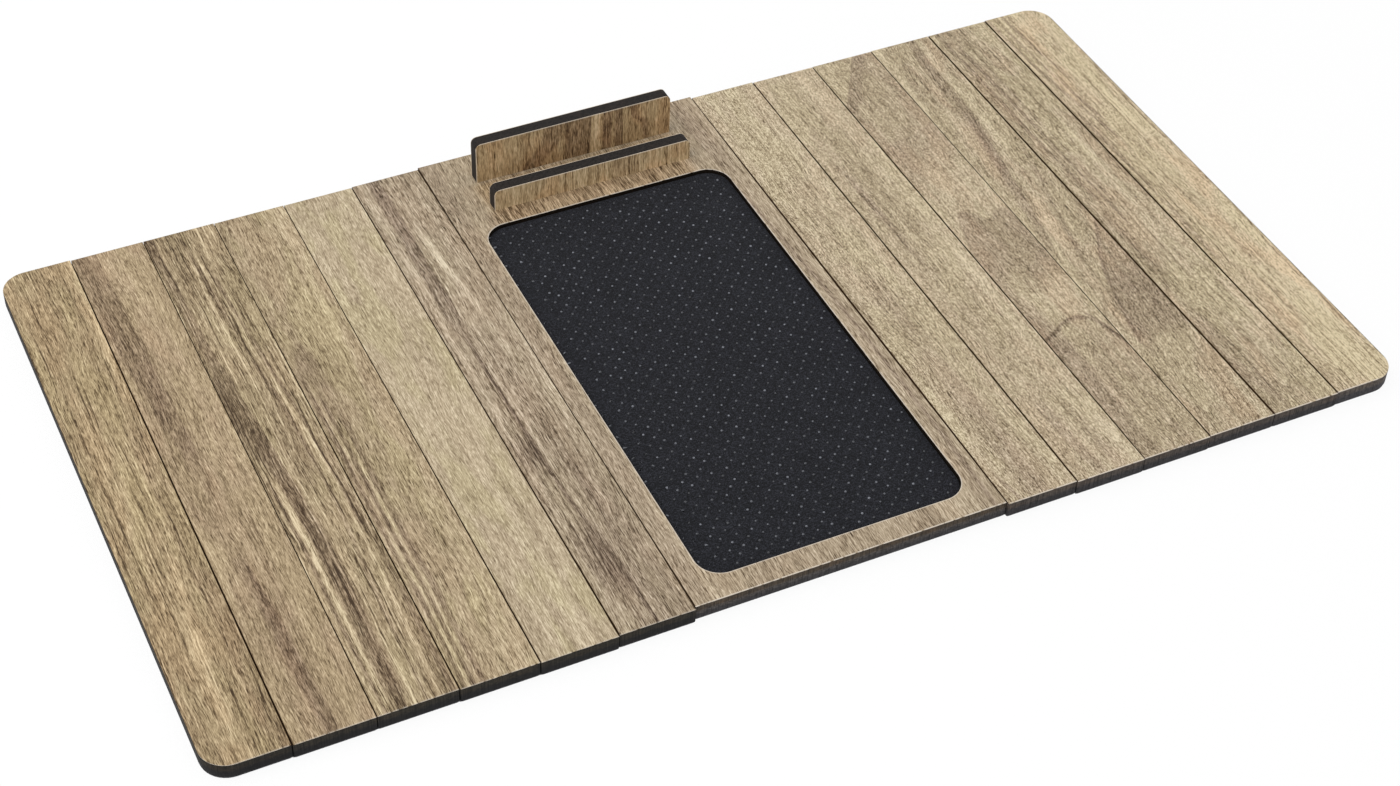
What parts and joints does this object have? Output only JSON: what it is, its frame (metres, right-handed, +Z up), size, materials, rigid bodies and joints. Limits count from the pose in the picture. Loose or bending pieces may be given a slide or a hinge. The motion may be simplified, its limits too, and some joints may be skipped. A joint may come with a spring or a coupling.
{
  "type": "sofa armrest tray",
  "caption": "Flexible slatted tray that drapes over a sofa arm: wood-look panel with a sunk anti-slip inlay and a phone slot, and folding slats on both sides.",
  "frame": {"origin": "under the middle of the whole tray, at the underside of the fabric backing", "axes": "+X along the row of slats, +Y to the back edge where the phone holder stands, +Z up"},
  "size_m": [0.5598, 0.3158, 0.0305],
  "materials": {
    "decor_facing": "wood-print decor facing, greige oak, matt",
    "holder_facing": "wood-print decor facing, darker oak, matt",
    "board_core": "fibreboard, cut edges charred dark brown to black",
    "fabric_backing": "black needle felt, bonded",
    "anti_slip_fabric": "black knitted fabric with small raised grey grip dots"
  },
  "bodies": {
    "panel": {"panel_top_board": "board_core", "panel_base_board": "board_core", "panel_facing": "decor_facing", "panel_backing": "fabric_backing", "anti_slip_pad": "anti_slip_fabric", "holder_back_board": "board_core", "holder_back_facings": "holder_facing", "holder_front_board": "board_core", "holder_front_facings": "holder_facing"},
    "left_1": {"left_slat_1": "board_core", "left_facing_1": "decor_facing", "left_backing_1": "fabric_backing"},
    "left_2": {"left_slat_2": "board_core", "left_facing_2": "decor_facing", "left_backing_2": "fabric_backing"},
    "left_3": {"left_slat_3": "board_core", "left_facing_3": "decor_facing", "left_backing_3": "fabric_backing"},
    "left_4": {"left_slat_4": "board_core", "left_facing_4": "decor_facing", "left_backing_4": "fabric_backing"},
    "left_5": {"left_slat_5": "board_core", "left_facing_5": "decor_facing", "left_backing_5": "fabric_backing"},
    "left_6": {"left_slat_6": "board_core", "left_facing_6": "decor_facing", "left_backing_6": "fabric_backing"},
    "right_1": {"right_slat_1": "board_core", "right_facing_1": "decor_facing", "right_backing_1": "fabric_backing"},
    "right_2": {"right_slat_2": "board_core", "right_facing_2": "decor_facing", "right_backing_2": "fabric_backing"},
    "right_3": {"right_slat_3": "board_core", "right_facing_3": "decor_facing", "right_backing_3": "fabric_backing"},
    "right_4": {"right_slat_4": "board_core", "right_facing_4": "decor_facing", "right_backing_4": "fabric_backing"},
    "right_5": {"right_slat_5": "board_core", "right_facing_5": "decor_facing", "right_backing_5": "fabric_backing"},
    "right_6": {"right_slat_6": "board_core", "right_facing_6": "decor_facing", "right_backing_6": "fabric_backing"}
  },
  "joints": [
    {"name": "left_seam_1", "type": "hinge", "parent": "panel", "child": "left_1", "pos_m": [-0.0737, 0, 0], "axis": [0, -1, 0], "range_deg": [0, 45]},
    {"name": "left_seam_2", "type": "hinge", "parent": "left_1", "child": "left_2", "pos_m": [-0.1081, 0, 0], "axis": [0, -1, 0], "range_deg": [0, 45]},
    {"name": "left_seam_3", "type": "hinge", "parent": "left_2", "child": "left_3", "pos_m": [-0.1425, 0, 0], "axis": [0, -1, 0], "range_deg": [0, 45]},
    {"name": "left_seam_4", "type": "hinge", "parent": "left_3", "child": "left_4", "pos_m": [-0.1769, 0, 0], "axis": [0, -1, 0], "range_deg": [0, 45]},
    {"name": "left_seam_5", "type": "hinge", "parent": "left_4", "child": "left_5", "pos_m": [-0.2113, 0, 0], "axis": [0, -1, 0], "range_deg": [0, 45]},
    {"name": "left_seam_6", "type": "hinge", "parent": "left_5", "child": "left_6", "pos_m": [-0.2457, 0, 0], "axis": [0, -1, 0], "range_deg": [0, 45]},
    {"name": "right_seam_1", "type": "hinge", "parent": "panel", "child": "right_1", "pos_m": [0.0737, 0, 0], "axis": [0, 1, 0], "range_deg": [0, 45]},
    {"name": "right_seam_2", "type": "hinge", "parent": "right_1", "child": "right_2", "pos_m": [0.1081, 0, 0], "axis": [0, 1, 0], "range_deg": [0, 45]},
    {"name": "right_seam_3", "type": "hinge", "parent": "right_2", "child": "right_3", "pos_m": [0.1425, 0, 0], "axis": [0, 1, 0], "range_deg": [0, 45]},
    {"name": "right_seam_4", "type": "hinge", "parent": "right_3", "child": "right_4", "pos_m": [0.1769, 0, 0], "axis": [0, 1, 0], "range_deg": [0, 45]},
    {"name": "right_seam_5", "type": "hinge", "parent": "right_4", "child": "right_5", "pos_m": [0.2113, 0, 0], "axis": [0, 1, 0], "range_deg": [0, 45]},
    {"name": "right_seam_6", "type": "hinge", "parent": "right_5", "child": "right_6", "pos_m": [0.2457, 0, 0], "axis": [0, 1, 0], "range_deg": [0, 45]}
  ]
}
